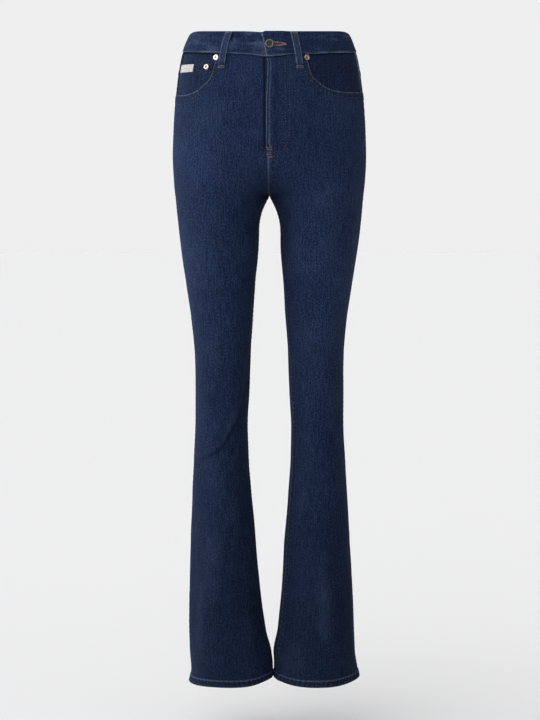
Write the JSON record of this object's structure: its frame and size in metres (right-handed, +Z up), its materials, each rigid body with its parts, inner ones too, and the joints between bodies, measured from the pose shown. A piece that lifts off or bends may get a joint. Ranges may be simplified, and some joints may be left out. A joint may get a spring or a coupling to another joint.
{
  "type": "bootcut jeans",
  "caption": "High-waisted bootcut jeans in dark indigo denim, filled out as worn with no wearer, with open waist and hems, front, coin and back pockets, belt loops and a buttoned fly.",
  "frame": {"origin": "the middle of the waist opening, halfway down the waistband, where the wearer's waist holds the garment", "axes": "+Z up towards the waistband, -Y towards the front with the fly, +X towards the wearer's left"},
  "size_m": [0.321, 0.2401, 1.093],
  "materials": {
    "denim": "dark indigo stretch twill, washed, with a slight sheen",
    "label_weave": "pale woven tape, left blank",
    "aged_metal": "antique nickel, worn",
    "bright_metal": "bright nickel"
  },
  "bodies": {
    "root": {"front_right": "denim", "front_left": "denim", "back_right": "denim", "back_left": "denim", "yoke_right": "denim", "yoke_left": "denim", "waistband_right": "denim", "waistband_left": "denim", "pocket_facing_right": "denim", "pocket_facing_left": "denim", "coin_pocket": "denim", "back_pocket_right": "denim", "back_pocket_left": "denim", "fly_guard": "denim", "belt_loop_front_right": "denim", "belt_loop_front_left": "denim", "belt_loop_back_right": "denim", "belt_loop_back_left": "denim", "belt_loop_back_middle": "denim", "blank_label": "label_weave", "waist_button": "aged_metal", "rivet_mouth_right": "bright_metal", "rivet_mouth_left": "bright_metal", "rivet_coin_pocket": "bright_metal"}
  },
  "joints": []
}
